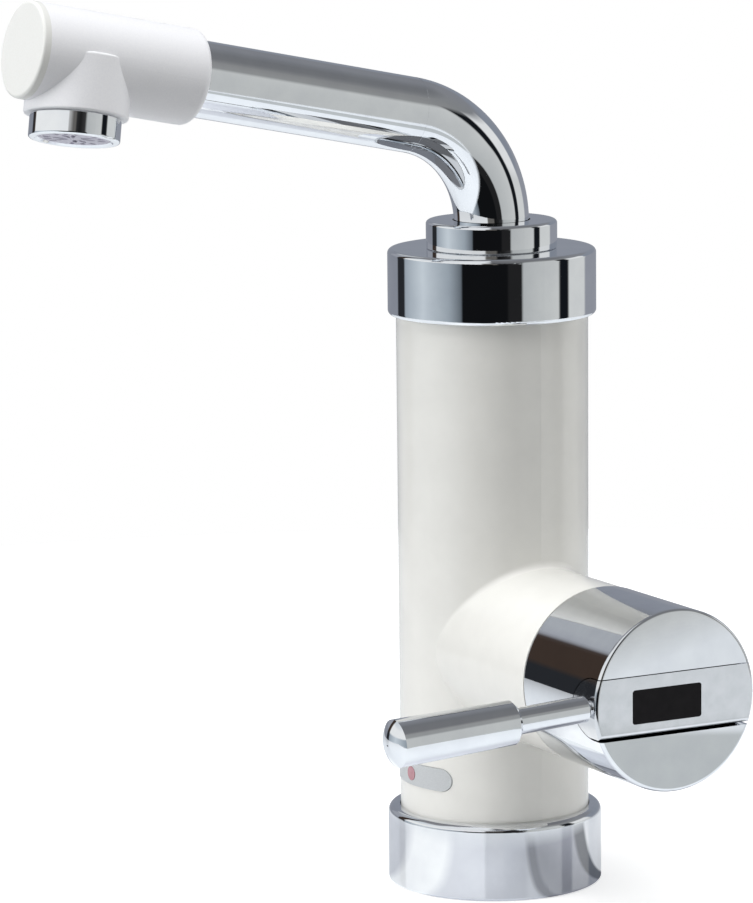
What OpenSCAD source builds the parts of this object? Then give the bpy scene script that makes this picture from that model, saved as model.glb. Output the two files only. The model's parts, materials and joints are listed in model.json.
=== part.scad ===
// Boiling water tap: an instant electric hot-water tap that stands in a hole of a worktop.
// Origin: centre of the seat on the worktop. +Z up, spout and indicator towards -Y,
// valve barrel and handle towards +X. Millimetres.

/* [Column] */
// Outside diameter of the column shell at its top
column_d = 60.2; // [58:0.5:66]
// How much narrower the column is at its foot, for the mould
column_draft = 0.6; // [0:0.1:2]
// Wall of the column shell
column_wall = 2.8; // [2:0.1:3.2]
// Height of the column that shows between base ring and top collar
column_visible_h = 156.7; // [150:0.5:190]
// How deep the column stands inside the top collar
column_in_collar = 10; // [8:0.5:12]

/* [Base] */
// Outside diameter of the base ring
base_ring_d = 67.5; // [66:0.5:74]
// Height of the base ring
base_ring_h = 24; // [23:0.5:32]
// Rounding of the base ring's top edge
base_ring_round = 2.2; // [1:0.1:2.8]
// Diameter of the base plate under the column
base_plate_d = 62.4; // [61.5:0.1:63]
// Thickness of the base plate
base_plate_t = 4; // [3:0.5:5]
// Thickness of the gasket on the worktop
gasket_t = 2; // [1.5:0.1:3]
// Diameter of the screws that hold the column to the base plate
base_screw_d = 3; // [2.5:0.5:3.5]
// Length of those screws under the head
base_screw_len = 14; // [10:1:15]
// Diameter of the bosses those screws go into
screw_boss_d = 6.6; // [6:0.2:7.2]

/* [Deck fixing] */
// Diameter of the clamping thread of the shank
shank_d = 28; // [24:0.5:28]
// Length of the clamping thread below the worktop's surface
shank_len = 45; // [34:1:60]
// Diameter of the water inlet thread, G 1/2
inlet_d = 20.96; // [19:0.02:22]
// Length of the water inlet thread
inlet_len = 18; // [12:1:25]
// Bore of the shank
inlet_bore_d = 13; // [10:0.5:14]
// Width across the flats of the shank's hexagon
shank_hex = 31; // [29.5:0.5:31]
// Height of that hexagon
shank_hex_t = 4; // [3:0.5:5]
// Thickness of worktop that the clamp is set to here
worktop_t = 20; // [10:1:24]
// Diameter of the clamp washer
washer_d = 50; // [40:1:60]
// Thickness of the clamp washer
washer_t = 2; // [1:0.5:3]
// Width across the flats of the mounting nut
nut_hex = 36; // [34:1:42]
// Height of the mounting nut
nut_h = 8; // [6:0.5:10]

/* [Cable gland] */
// Bore of the gland for the mains lead
gland_bore_d = 8; // [6:0.5:9]
// Outside diameter of the gland's body
gland_d = 11; // [10.5:0.1:12]
// Diameter of the gland's two flanges
gland_flange_d = 12.4; // [12.2:0.2:14]
// Thickness of each flange
gland_flange_t = 1.4; // [1.2:0.1:3]

/* [Valve barrel] */
// Height of the barrel's axis above the worktop
barrel_z = 76.9; // [75:0.5:85]
// How far the handle head stands proud of the barrel's side
head_proud = 0.2; // [0:0.05:1]
// Distance from the column's axis to the barrel's end
barrel_len = 65.7; // [64:0.5:72]
// Gap between the head's skirt and the spigot that it runs round
skirt_gap = 0.5; // [0.3:0.05:1]
// Length of that spigot
barrel_spigot_len = 5; // [3:0.5:6]

/* [Indicator] */
// Height of the middle of the indicator plate
indicator_z = 36.8; // [34:0.5:40]
// Length of the indicator plate, seen from the front
indicator_len = 33.4; // [30:0.5:38]
// Height of the indicator plate
indicator_h = 7.2; // [6:0.2:9]
// Thickness of the indicator plate
indicator_t = 1.4; // [1.2:0.1:1.6]
// Diameter of the red lens
lens_d = 4.4; // [3:0.2:5]

/* [Top collar and spout nut] */
// Outside diameter of the top collar
top_collar_d = 65.2; // [64:0.2:70]
// Height of the top collar
top_collar_h = 20.7; // [19:0.1:24]
// Rounding of the collar's edges
collar_round = 1.5; // [0.5:0.1:2]
// Outside diameter of the spout nut
spout_nut_d = 41; // [40:0.5:46]
// Height of the spout nut above the collar
spout_nut_h = 8.8; // [7.5:0.1:12]
// Thread diameter of the spout nut
spout_thread_d = 32; // [31:0.5:33]

/* [Spout] */
// Outside diameter of the spout pipe
pipe_d = 23.5; // [22:0.1:24]
// Wall of the spout pipe
pipe_wall = 1.2; // [1:0.1:1.5]
// Bend radius of the spout, at the middle of the pipe
bend_r = 36; // [32:0.5:45]
// Angle by which the spout's arm rises
arm_rise = 11.5; // [5:0.5:20]
// Length of the arm from the column's axis to the nozzle's end
arm_len = 162.3; // [150:0.1:190]
// How far the bend starts inside the spout nut
bend_sink = 1.1; // [0.5:0.1:1.5]

/* [Nozzle] */
// Outside diameter of the nozzle sleeve
sleeve_d = 29.3; // [28.5:0.1:31]
// Length of the nozzle sleeve with its end cap
sleeve_len = 56.7; // [50:0.1:75]
// Length of pipe held in the sleeve
pipe_in_sleeve = 20.2; // [15:0.1:29]
// Rounding of the sleeve's end towards the column
sleeve_round = 2.5; // [1:0.1:4]
// Distance from the nozzle's end to the outlet's axis
outlet_back = 19.3; // [19:0.1:24]
// Diameter of the neck over the outlet
neck_d = 31.3; // [30:0.1:33]
// Distance from the arm's axis to the neck's rim
neck_h = 17.5; // [17:0.1:20]
// Roll of the nozzle about the arm, towards the handle
nozzle_roll = 10.9; // [-30:0.1:30]
// Thickness of the end cap
end_cap_t = 2.5; // [2:0.1:4]

/* [Aerator] */
// Diameter of the aerator's grip ring
aerator_d = 27.4; // [26.5:0.1:28.5]
// Height of the grip ring
aerator_h = 7.1; // [6:0.1:9]
// Diameter of the aerator's thread
aerator_thread_d = 24.4; // [24:0.1:24.6]
// Bore of the aerator housing
aerator_bore_d = 22; // [21:0.1:22.4]
// Diameter of each jet hole in the aerator insert
jet_d = 1.7; // [1:0.1:2]
// Number of rings of jet holes round the middle one
jet_rings = 3; // [1:1:3]

/* [Handle head] */
// Outside diameter of the handle head
head_d = 55.4; // [54:0.1:58]
// Length of the handle head
head_len = 42.3; // [40:0.1:48]
// Rounding of the head's front edge
head_round = 1.1; // [0.5:0.1:1.5]
// Wall of the head's skirt
skirt_wall = 2.9; // [2.6:0.1:3]
// Depth of the hollow behind the head's web
skirt_depth = 24.9; // [22:0.1:26]
// Width of the slot across the head
slot_w = 19; // [17:0.1:21]
// How far the slot's middle lies below the handle's axis
slot_drop = 0.5; // [0:0.1:1.5]
// How far behind the face the slot's round floor has its centre
slot_back = 3.9; // [3:0.1:5]

/* [Handle bar] */
// Gap above the bar in its slot
bar_gap_top = 0.3; // [0.2:0.05:0.5]
// Gap below the bar in its slot
bar_gap_bottom = 0.6; // [0.5:0.05:1.2]
// Rounding of the bar's lower edge
bar_round = 1.6; // [0.3:0.1:2]
// Length of the display window
window_len = 23.8; // [20:0.1:26]
// Height of the display window
window_h = 10.2; // [8:0.1:12]
// Thickness of the display window
window_t = 1.5; // [1:0.1:2]
// How far the window sits from the middle, towards the lever
window_shift = 2.9; // [0:0.1:4]
// How far the window's middle lies below the handle's axis
window_drop = 0.5; // [0:0.1:1]

/* [Lever] */
// Diameter of the lever's rod
rod_d = 8; // [7:0.1:9]
// Diameter of the threaded end that goes into the bar
rod_thread_d = 5; // [4:0.5:6]
// Depth of that thread in the bar
rod_thread_len = 7; // [5:0.5:8]
// Distance of the rod's axis behind the head's face
rod_back = 4.2; // [4:0.1:5]
// Angle by which the lever droops towards its tip
rod_droop = 2.8; // [0:0.1:4]
// Distance of the drooping axis above the handle's axis, at the handle's axis
rod_rise = 1.4; // [0:0.1:2.5]
// Gap between the head's side and the rod's shoulder
rod_gap = 1.2; // [0.8:0.1:2]
// Distance from the handle's axis to the grip
grip_start = 53.2; // [50:0.1:65]
// Length of the grip with its domed tip
grip_len = 42.2; // [35:0.1:50]
// Diameter of the grip at its inner end
grip_d_inner = 13.4; // [11:0.1:15]
// Diameter of the grip at its tip
grip_d_tip = 14.3; // [11:0.1:16]
// Height of the domed tip
grip_dome = 2.6; // [2:0.1:4]

/* [Valve] */
// Outside diameter of the valve body
valve_body_d = 41.6; // [41:0.1:42.4]
// Distance from the column's axis to the floor of the cartridge pocket
pocket_x = 24; // [22:0.5:26]
// Diameter of the cartridge
cartridge_d = 35; // [34:0.1:36]
// Length of the cartridge in its pocket
cartridge_len = 26; // [24:0.5:28]
// Diameter of the thread of the cartridge nut
cartridge_nut_d = 37.8; // [37:0.1:38.2]
// Diameter of the ceramic discs
disc_d = 27; // [25:0.1:28]
// Thickness of each ceramic disc
disc_t = 3; // [2.5:0.1:3.5]
// Thickness of the rubber seal under the discs
seal_t = 1.2; // [1:0.1:1.6]
// Diameter of the spindle
spindle_d = 14; // [12:0.1:15]
// Width of the spindle's square end
spindle_square = 8.2; // [7.5:0.1:9]
// Diameter of the water ways in the valve
water_way_d = 6; // [5:0.5:7]

/* [Heater] */
// Outside diameter of the heating chamber
chamber_d = 38; // [36:0.5:38]
// Length of the heating chamber
chamber_len = 58; // [50:0.5:60]
// Wall of the heating chamber
chamber_wall = 2; // [1.5:0.1:3]
// Outside diameter of the water tubes
tube_d = 12; // [10:0.5:12]
// Diameter of the heating element's rod
element_d = 5; // [4:0.1:6]

/* [Fits] */
// Radial clearance between pieces that turn or slide in each other
run_gap = 0.05; // [0.02:0.01:0.08]
// Radial clearance between pieces that are put together loosely
slip_gap = 0.25; // [0.15:0.05:0.3]
// Gap between a turning face and the face it passes
turn_gap = 0.4; // [0.35:0.05:0.6]

/* [Hidden] */
$fn = 96;
eps = 0.01; // overshoot of a cut past the face that it opens

// Radii and heights of the column and its base
column_r = column_d / 2;
foot_r = column_r - column_draft / 2;
column_bore_r = foot_r - column_wall;
plate_top_z = gasket_t + base_plate_t;
collar_z = base_ring_h + column_visible_h;
column_top_z = collar_z + column_in_collar;
collar_top_z = collar_z + top_collar_h;
nut_top_z = collar_top_z + spout_nut_h;
screw_ring_r = column_bore_r - screw_boss_d / 2 + 0.2; // the bosses run into the wall
screw_angles = [-90, 0, 180];
screw_head_d = 2 * base_screw_d;
screw_head_t = base_screw_d / 2;

// The shank's nipple, and the gland above the base plate
nipple_d = tube_d + 4;
nipple_h = 4;
gland_z = plate_top_z + gland_flange_d / 2 + 0.6;
gland_outer_y = base_ring_d / 2; // where the outer flange seats
gland_inner_y = column_bore_r - 1.2; // where the inner flange seats

// Barrel, measured along +X from the column's axis
barrel_r = head_d / 2 - head_proud;
barrel_spigot_d = head_d - 2 * (skirt_wall + skirt_gap);
head_x = barrel_len + turn_gap;
face_x = head_x + head_len;
web_x = head_x + skirt_depth;
slot_centre_x = face_x - slot_back;
slot_floor_x = slot_centre_x - slot_w / 2;
head_boss_d = 17;
head_boss_x = head_x + 9;
square_end_x = web_x - 3;
handle_thread_d = 4;
handle_screw_head_d = 9;
handle_screw_head_t = 3;
handle_screw_len = slot_floor_x - square_end_x + 9;
handle_screw_key = 4; // width of its hexagon socket

// Valve, along the same axis
valve_back_x = -12;
valve_front_x = barrel_len - 3.5;
pocket_end_x = pocket_x + cartridge_len;
fixed_disc_x = pocket_x + seal_t;
moving_disc_x = fixed_disc_x + disc_t;
driver_x = moving_disc_x + disc_t;
driver_t = 2.8;
disc_room_x = driver_x + driver_t + turn_gap;
port_offset = 7; // of each water port from the valve's axis
port_boss_d = tube_d + 7;
port_boss_h = 6; // past the valve body
port_seat_depth = 4;
riser_d = water_way_d + 1.2; // the upright drillings, wider than the ports that they meet
riser_over = water_way_d / 2 + 0.4; // and drilled past them
inlet_port_z = barrel_z - valve_body_d / 2 - port_boss_h;
outlet_port_z = barrel_z + valve_body_d / 2 + port_boss_h - 1;
spigot_seat_d = spindle_d + 3.6;
cartridge_spigot_len = 10;
spindle_groove_x = pocket_end_x + 4;
ring_section = 1.6; // thickness of the spindle's O-ring

// Water line below the valve
flow_switch_z = 20;
flow_switch_h = 22;
tube_bore_r = tube_d / 2 - 1.5;

// Heating chamber
chamber_z = outlet_port_z + 3;
chamber_top_z = chamber_z + chamber_len;
chamber_flange_d = chamber_d + 5;
chamber_flange_t = 3;
chamber_seal_t = 1.5;
lid_z = chamber_top_z + chamber_seal_t;
lid_t = 4;
post_offset = 12; // of the heating element's ends from the axis
post_h = 6;

// Swivel joint of the spout, counted down from the collar's top
pipe_r = pipe_d / 2;
pipe_bore_r = pipe_r - pipe_wall;
socket_flange_t = 3;
collar_roof_z = column_top_z + socket_flange_t;
socket_neck_top_z = collar_top_z - 1.2;
nut_foot_z = collar_roof_z + 1.8;
bush_flange_t = 1.5;
bush_z = nut_foot_z - bush_flange_t;
clip_room_z = bush_z - 3.5;
clip_t = 1.2;
clip_z = bush_z - clip_t - turn_gap;
clip_r = pipe_r + 1.8;
tail_z = column_top_z - 9.5;
tail_top_z = nut_foot_z + 1;
tail_bore_r = pipe_bore_r - 2.5;
o_ring_section = 2.6;
o_ring_z = [tail_z + 2.6, tail_z + 6.2];
socket_bore_r = pipe_r + run_gap;
socket_r = pipe_r + 3.5;
socket_neck_r = spout_thread_d / 2 + 2.6;
socket_foot_z = lid_z + lid_t + post_h + 1; // clear of the element's ends
lid_neck_top_z = socket_foot_z + port_seat_depth;
bush_r = pipe_r + 2.6;
nut_lip_z = nut_top_z - 1.7; // underside of the lip that hides the bush

// Spout
bend_start_z = nut_top_z - bend_sink;
bend_angle = 90 - arm_rise;
arm_z = bend_start_z + bend_r * tan(bend_angle / 2); // where the arm's axis meets the column's
arm_start = bend_r * tan(bend_angle / 2);
pipe_lap = 0.8;
pipe_step = 0.02;
sleeve_start = arm_len - sleeve_len;
pipe_end = sleeve_start + pipe_in_sleeve;
outlet_at = arm_len - outlet_back;
sleeve_r = sleeve_d / 2;
sleeve_cavity_r = sleeve_r - 2.6;
cap_at = arm_len - end_cap_t;
cap_spigot_len = 3;
aerator_thread_h = 6;
aerator_top_h = neck_h - aerator_thread_h;
aerator_washer_t = 1.6;
neck_bore_r = aerator_thread_d / 2 + run_gap;

// Bar and window across the head
bar_round_r = slot_w / 2 - bar_gap_top;
slot_z = barrel_z - slot_drop;
bar_low_z = slot_z - slot_w / 2 + bar_gap_bottom;
window_round = 0.9;
module_margin = 1.2; // between the window's edge and the display module
module_t = 3.5;
rod_shoulder = head_d / 2 + rod_gap;
rod_spigot_d = rod_d - 1.8; // the rod's end in the grip
rod_spigot_len = 12;

// Boards
board_y = tube_d + 2;
board_t = 1.6;
board_w = 38;
board_z = 26;
board_h = 22;
terminal_depth = 7;
guide_gap = 0.3; // between the board's edge and its guides
guide_wall = 1.8;
guide_grip = 2; // how far a guide reaches over the board

// A solid of revolution: square-cornered inside, rounded on its outer edges
module rounded_ring(r_in, r_out, h, round_low, round_top) {
    straight = r_out - r_in;
    rotate_extrude() {
        translate([r_in, round_low]) square([straight, h - round_low - round_top]);
        translate([r_in, 0]) square([straight - max(round_low, round_top), h]);
        translate([r_in, 0]) square([straight - round_low, round_low + eps]);
        translate([r_in, h - round_top - eps]) square([straight - round_top, round_top + eps]);
        intersection() {
            translate([r_out - round_low, round_low]) circle(round_low);
            translate([r_in, 0]) square([straight, h]);
        }
        intersection() {
            translate([r_out - round_top, h - round_top]) circle(round_top);
            translate([r_in, 0]) square([straight, h]);
        }
    }
}

// A plain tube, or a washer
module tube(r_out, r_in, h) {
    difference() {
        cylinder(r = r_out, h = h);
        translate([0, 0, -eps]) cylinder(r = r_in, h = h + 2 * eps);
    }
}

// A rectangle with round corners, drawn about its centre
module round_rect(size, r) {
    square([size[0] - 2 * r, size[1]], center = true);
    square([size[0], size[1] - 2 * r], center = true);
    for (sx = [-1, 1], sy = [-1, 1])
        translate([sx * (size[0] / 2 - r), sy * (size[1] / 2 - r)]) circle(r);
}

// Local Z along the barrel, +X; local X points down, local Y stays
module on_barrel() { translate([0, 0, barrel_z]) rotate([0, 90, 0]) children(); }

// Local Z along the spout's arm, outwards; local Y is up
module on_arm() { translate([0, 0, arm_z]) rotate([bend_angle, 0, 0]) children(); }

// Local Z down the outlet, from the arm's axis
module on_outlet() {
    on_arm() rotate([0, 0, nozzle_roll]) translate([0, 0, outlet_at]) rotate([90, 0, 0]) children();
}

// ---- Base ----

module base_ring() {
    color("silver") difference() {
        rounded_ring(foot_r + slip_gap, base_ring_d / 2, base_ring_h, 0.8, base_ring_round);
        translate([0, 0, -eps]) cylinder(r = base_plate_d / 2 + slip_gap, h = plate_top_z + eps);
        gland_hole();
    }
}

module gland_hole() {
    translate([0, 0, gland_z]) rotate([-90, 0, 0])
        cylinder(r = gland_d / 2 + slip_gap, h = base_ring_d / 2 + 1);
}

module base_plate() {
    color("gray") translate([0, 0, gasket_t]) difference() {
        tube(base_plate_d / 2, shank_d / 2 + slip_gap, base_plate_t);
        for (a = screw_angles) rotate(a) translate([screw_ring_r, 0, -eps]) {
            cylinder(d = base_screw_d + 2 * slip_gap, h = base_plate_t + 2 * eps);
            cylinder(d = screw_head_d + 2 * slip_gap, h = screw_head_t + eps);
        }
    }
}

module base_gasket() {
    color("dimgray") tube(base_plate_d / 2, shank_d / 2 + slip_gap, gasket_t);
}

module base_screws() {
    cross = 0.6; // width and depth of the cross slot in the head
    color("silver") for (a = screw_angles)
        rotate(a) translate([screw_ring_r, 0, gasket_t]) difference() {
            union() {
                cylinder(d = screw_head_d, h = screw_head_t);
                cylinder(d = base_screw_d, h = base_screw_len + screw_head_t);
            }
            for (t = [0, 90]) rotate(t)
                cube([screw_head_d * cross, cross, 2 * cross], center = true);
        }
}

// ---- Deck fixing ----

module inlet_shank() {
    relief = 1.2;
    color("goldenrod") difference() {
        union() {
            translate([0, 0, plate_top_z]) cylinder(d = shank_hex / cos(30), h = shank_hex_t, $fn = 6);
            translate([0, 0, -shank_len]) cylinder(d = shank_d, h = shank_len + plate_top_z);
            translate([0, 0, plate_top_z]) cylinder(d = nipple_d, h = shank_hex_t + nipple_h);
            translate([0, 0, -shank_len - inlet_len + 1]) cylinder(d = inlet_d, h = inlet_len - 1);
            translate([0, 0, -shank_len - inlet_len]) cylinder(d1 = inlet_d - 2, d2 = inlet_d, h = 1);
        }
        translate([0, 0, -shank_len - inlet_len - eps])
            cylinder(d = inlet_bore_d, h = inlet_len + shank_len + plate_top_z);
        translate([0, 0, -eps]) cylinder(d = tube_d - 3, h = plate_top_z + shank_hex_t + nipple_h);
        translate([0, 0, plate_top_z + shank_hex_t + nipple_h - port_seat_depth - relief])
            cylinder(d = tube_d + 2 * run_gap, h = port_seat_depth + relief + eps);
    }
}

module clamp_washer() {
    color("silver") translate([0, 0, -worktop_t - washer_t])
        tube(washer_d / 2, shank_d / 2 + slip_gap + run_gap, washer_t);
}

module mounting_nut() {
    color("goldenrod") translate([0, 0, -worktop_t - washer_t - nut_h]) difference() {
        intersection() {
            cylinder(d = nut_hex / cos(30), h = nut_h, $fn = 6);
            union() {
                cylinder(d1 = nut_hex, d2 = nut_hex + 2 * nut_h, h = nut_h / 2);
                translate([0, 0, nut_h / 2])
                    cylinder(d1 = nut_hex + 2 * nut_h, d2 = nut_hex, h = nut_h / 2);
            }
        }
        translate([0, 0, -eps]) cylinder(r = shank_d / 2 + run_gap, h = nut_h + 2 * eps);
    }
}

module cable_gland() {
    color("dimgray") translate([0, 0, gland_z]) rotate([-90, 0, 0]) difference() {
        union() {
            translate([0, 0, gland_inner_y - gland_flange_t])
                cylinder(d = gland_flange_d, h = gland_flange_t);
            translate([0, 0, gland_inner_y - eps])
                cylinder(d = gland_d, h = gland_outer_y - gland_inner_y + 2 * eps);
            translate([0, 0, gland_outer_y])
                rounded_ring(gland_bore_d / 2, gland_flange_d / 2, gland_flange_t, 0.4, 0.8);
        }
        translate([0, 0, gland_inner_y - gland_flange_t - eps])
            cylinder(d = gland_bore_d, h = gland_outer_y - gland_inner_y + 3 * gland_flange_t);
    }
}

// ---- Column ----

module column_outside() {
    translate([0, 0, plate_top_z])
        cylinder(r1 = foot_r, r2 = column_r, h = column_top_z - plate_top_z);
}

// The plate's outline, pushed through the front wall
module indicator_outline(grow) {
    r = indicator_h / 2 + grow;
    half = indicator_len / 2 - indicator_h / 2;
    translate([0, 0, indicator_z]) rotate([90, 0, 0]) linear_extrude(column_r + 1) {
        square([2 * half, 2 * r], center = true);
        for (s = [-1, 1]) translate([s * half, 0]) circle(r);
    }
}

module column_shell() {
    color("white") difference() {
        union() {
            difference() {
                union() {
                    column_outside();
                    on_barrel() cylinder(r = barrel_r, h = barrel_len);
                    on_barrel() cylinder(d = barrel_spigot_d, h = barrel_len + barrel_spigot_len);
                }
                translate([0, 0, plate_top_z - eps])
                    cylinder(r = column_bore_r, h = column_top_z - plate_top_z + 2 * eps);
            }
            intersection() {
                for (a = screw_angles) rotate(a) translate([screw_ring_r, 0, plate_top_z])
                    cylinder(d = screw_boss_d, h = base_screw_len);
                translate([0, 0, plate_top_z]) cylinder(r = column_bore_r + 1, h = base_screw_len);
            }
            board_guides();
        }
        for (a = screw_angles) rotate(a) translate([screw_ring_r, 0, plate_top_z - eps])
            cylinder(d = base_screw_d + 2 * run_gap, h = base_screw_len - 2);
        translate([-board_w / 2 - guide_gap, board_y - guide_gap, board_z - guide_gap])
            cube([board_w + 2 * guide_gap, board_t + 2 * guide_gap, board_h + 1]);
        on_barrel()
            cylinder(r = valve_body_d / 2 + slip_gap, h = barrel_len + barrel_spigot_len + eps);
        gland_hole();
        difference() {
            indicator_outline(0.1);
            translate([0, 0, indicator_z - indicator_h])
                cylinder(r = foot_r - indicator_t - run_gap, h = 2 * indicator_h);
        }
        translate([0, 0, indicator_z]) rotate([90, 0, 0]) cylinder(d = lens_d + 1, h = column_r);
    }
}

// Two grooved blocks on the column's inner wall that the control board slides into
module board_guides() {
    inner_x = board_w / 2 - guide_grip;
    block_t = board_t + 2 * (guide_gap + guide_wall);
    middle = [(inner_x + column_r) / 2, board_y + board_t / 2, board_z + board_h / 2 - guide_wall];
    intersection() {
        for (s = [-1, 1]) translate([s * middle[0], middle[1], middle[2]])
            cube([column_r - inner_x, block_t, board_h], center = true);
        translate([0, 0, board_z - guide_wall - 1]) cylinder(r = column_bore_r + 1, h = board_h + 2);
    }
}

module indicator_panel() {
    color("lightgray") difference() {
        intersection() {
            indicator_outline(0);
            translate([0, 0, indicator_z - indicator_h])
                tube(foot_r + 0.35, foot_r - indicator_t, 2 * indicator_h);
        }
        translate([0, 0, indicator_z]) rotate([90, 0, 0])
            cylinder(d = lens_d + 2 * run_gap, h = column_r + 1);
    }
}

module indicator_lens() {
    color("firebrick") translate([0, 0, indicator_z]) rotate([90, 0, 0])
        translate([0, 0, foot_r - indicator_t - 1]) cylinder(d = lens_d, h = indicator_t + 1.5);
}

// A light-emitting diode with its two legs, behind the lens
module indicator_lamp() {
    lamp_d = lens_d - 0.4;
    body_len = 5;
    rim_t = 1;
    leg_t = 0.5;
    leg_len = 4;
    leg_pitch = 2.54;
    dome_y = foot_r - indicator_t - 1.3 - lens_d / 2; // the dome stops 0.3 behind the lens
    color("tomato") translate([0, 0, indicator_z]) rotate([90, 0, 0]) {
        translate([0, 0, dome_y]) sphere(d = lamp_d);
        translate([0, 0, dome_y - body_len + rim_t]) cylinder(d = lamp_d, h = body_len - rim_t);
        translate([0, 0, dome_y - body_len]) cylinder(d = lamp_d + 2 * rim_t, h = rim_t);
        for (s = [-1, 1]) translate([s * leg_pitch / 2, 0, dome_y - body_len - leg_len / 2 + eps])
            cube([leg_t, leg_t, leg_len], center = true);
    }
}

module top_collar() {
    color("silver") translate([0, 0, collar_z]) difference() {
        rounded_ring(socket_neck_r + slip_gap, top_collar_d / 2, top_collar_h,
            collar_round, collar_round);
        translate([0, 0, -eps]) cylinder(r = column_r + slip_gap, h = collar_roof_z - collar_z + eps);
    }
}

// ---- Swivel joint of the spout ----

module spout_socket() {
    color("goldenrod") difference() {
        union() {
            translate([0, 0, socket_foot_z]) cylinder(r = socket_r, h = collar_roof_z - socket_foot_z);
            translate([0, 0, column_top_z]) cylinder(r = column_r, h = socket_flange_t);
            translate([0, 0, column_top_z])
                cylinder(r = socket_neck_r, h = socket_neck_top_z - column_top_z);
        }
        translate([0, 0, socket_foot_z - eps])
            cylinder(d = tube_d + 2 * run_gap, h = lid_neck_top_z - socket_foot_z + eps);
        translate([0, 0, socket_foot_z]) cylinder(r = tail_bore_r, h = tail_z - socket_foot_z);
        translate([0, 0, tail_z - turn_gap]) cylinder(r = socket_bore_r, h = collar_top_z - tail_z);
        translate([0, 0, clip_room_z]) cylinder(r = clip_r + turn_gap, h = collar_top_z - clip_room_z);
        translate([0, 0, bush_z]) cylinder(r = spout_thread_d / 2, h = collar_top_z - bush_z);
    }
}

module spout_nut() {
    color("silver") difference() {
        union() {
            translate([0, 0, collar_top_z])
                rounded_ring(pipe_r + turn_gap, spout_nut_d / 2, spout_nut_h, 0.4, 1.2);
            translate([0, 0, nut_foot_z])
                cylinder(r = spout_thread_d / 2 - run_gap, h = collar_top_z - nut_foot_z + 1);
        }
        translate([0, 0, nut_foot_z - eps])
            cylinder(r = bush_r + run_gap, h = nut_lip_z - nut_foot_z + eps);
    }
}

module spout_bush() {
    bush_top_z = nut_lip_z - slip_gap;
    color("ivory") difference() {
        union() {
            translate([0, 0, bush_z]) cylinder(r = spout_thread_d / 2 - slip_gap, h = bush_flange_t);
            translate([0, 0, bush_z]) cylinder(r = bush_r, h = bush_top_z - bush_z);
        }
        translate([0, 0, bush_z - eps])
            cylinder(r = pipe_r + run_gap, h = bush_top_z - bush_z + 2 * eps);
    }
}

// Open ring that snaps into the tail's top groove
module spout_clip() {
    color("silver") translate([0, 0, clip_z]) difference() {
        tube(clip_r, pipe_r - 1 + run_gap, clip_t);
        translate([0, -1.5, -eps]) cube([2 * clip_r, 3, clip_t + 2 * eps]);
    }
}

module spout_o_rings() {
    color("dimgray") for (z = o_ring_z) translate([0, 0, z]) rotate_extrude()
        translate([pipe_r - o_ring_section / 2, 0]) circle(d = o_ring_section - 2 * run_gap);
}

// Turned brass end of the pipe, with its grooves
module spout_tail() {
    color("goldenrod") difference() {
        union() {
            translate([0, 0, tail_z]) cylinder(r = pipe_r, h = tail_top_z - tail_z);
            translate([0, 0, tail_z]) cylinder(r = pipe_bore_r - run_gap, h = tail_top_z - tail_z + 6);
        }
        translate([0, 0, tail_z - eps]) cylinder(r = tail_bore_r, h = tail_top_z - tail_z + 8);
        for (z = o_ring_z) translate([0, 0, z - o_ring_section / 2])
            tube(pipe_r + 1, pipe_r - o_ring_section, o_ring_section);
        translate([0, 0, clip_z - run_gap]) tube(pipe_r + 1, pipe_r - 1, clip_t + 2 * run_gap);
    }
}

// ---- Spout ----

// The straights lap into the bend, which is thicker by a hair, so that they meet in clean edges
module pipe_run(r, step, over) {
    translate([0, 0, tail_top_z - over])
        cylinder(r = r + step, h = bend_start_z - tail_top_z + pipe_lap + over);
    translate([0, -bend_r, bend_start_z]) rotate([90, 0, 90])
        rotate_extrude(angle = bend_angle) translate([bend_r, 0]) circle(r);
    on_arm() translate([0, 0, arm_start - pipe_lap])
        cylinder(r = r + step, h = pipe_end - arm_start + pipe_lap + over);
}

module spout_pipe() {
    color("silver") difference() {
        pipe_run(pipe_r, -pipe_step, 0);
        pipe_run(pipe_bore_r, pipe_step, 1);
    }
}

// White moulding on the pipe's end: a sleeve with a neck that opens downwards
module nozzle_sleeve() {
    body_len = cap_at - sleeve_start;
    color("white") difference() {
        union() {
            on_arm() translate([0, 0, cap_at]) mirror([0, 0, 1])
                rounded_ring(0, sleeve_r, body_len, eps, sleeve_round);
            on_outlet() rounded_ring(0, neck_d / 2, neck_h, 0.8, 0.6);
        }
        on_arm() translate([0, 0, sleeve_start - eps])
            cylinder(r = pipe_r + run_gap, h = pipe_in_sleeve + 2 * eps);
        on_arm() translate([0, 0, pipe_end])
            cylinder(r = sleeve_cavity_r, h = cap_at - pipe_end + eps);
        on_outlet() cylinder(r = neck_bore_r, h = neck_h + eps);
    }
}

module nozzle_end_cap() {
    color("white") on_arm() {
        translate([0, 0, cap_at]) rounded_ring(0, sleeve_r, end_cap_t, eps, 1);
        translate([0, 0, cap_at - cap_spigot_len])
            tube(sleeve_cavity_r - run_gap, sleeve_cavity_r - 2, cap_spigot_len + eps);
    }
}

// Water way inside the nozzle, from the pipe's end down to the aerator
module nozzle_insert() {
    insert_end = cap_at - cap_spigot_len - slip_gap;
    way_r = 7;
    color("gray") difference() {
        on_arm() translate([0, 0, pipe_end + slip_gap])
            cylinder(r = sleeve_cavity_r - run_gap, h = insert_end - pipe_end - slip_gap);
        on_arm() translate([0, 0, pipe_end]) cylinder(r = way_r, h = outlet_at - pipe_end);
        on_outlet() translate([0, 0, -way_r - 1]) cylinder(r = way_r + 1, h = neck_h + way_r);
        on_outlet() translate([0, 0, aerator_top_h - aerator_washer_t])
            cylinder(r = neck_bore_r, h = neck_h);
    }
}

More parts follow.
